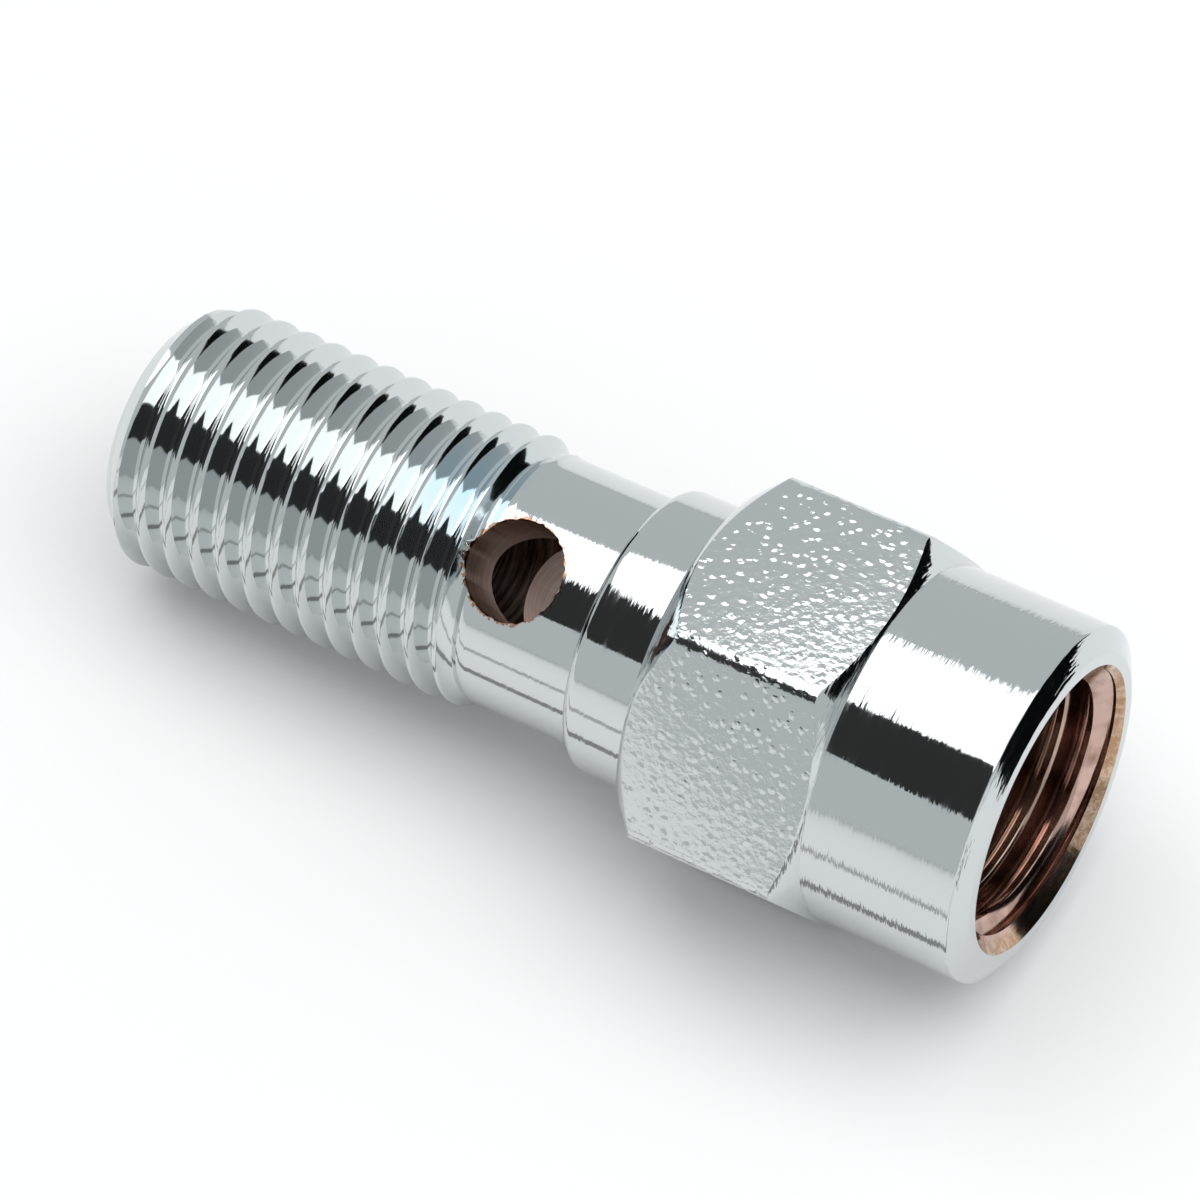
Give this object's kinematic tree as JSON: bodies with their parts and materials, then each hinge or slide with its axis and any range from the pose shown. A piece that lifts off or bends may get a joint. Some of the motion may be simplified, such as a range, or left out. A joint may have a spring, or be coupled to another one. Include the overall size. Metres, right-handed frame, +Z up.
{
  "type": "banjo_bolt",
  "caption": "Chrome plated banjo bolt, shiny: threaded hollow shank with a cross hole in its neck, round collar, pebbled hexagon and a round socket with an inner thread.",
  "frame": {"origin": "centre of the hexagon's seat face, on the bolt's axis", "axes": "+X towards the mouth of the socket, level; +Z up; the bolt's own axis climbs 4.4 degrees from the tip to the mouth, as the bolt comes to rest on a flat floor"},
  "size_m": [0.0344, 0.0144, 0.0134],
  "materials": {
    "chrome_plate": "polished"
  },
  "bodies": {
    "root": {"banjo_bolt": "chrome_plate"}
  },
  "joints": []
}
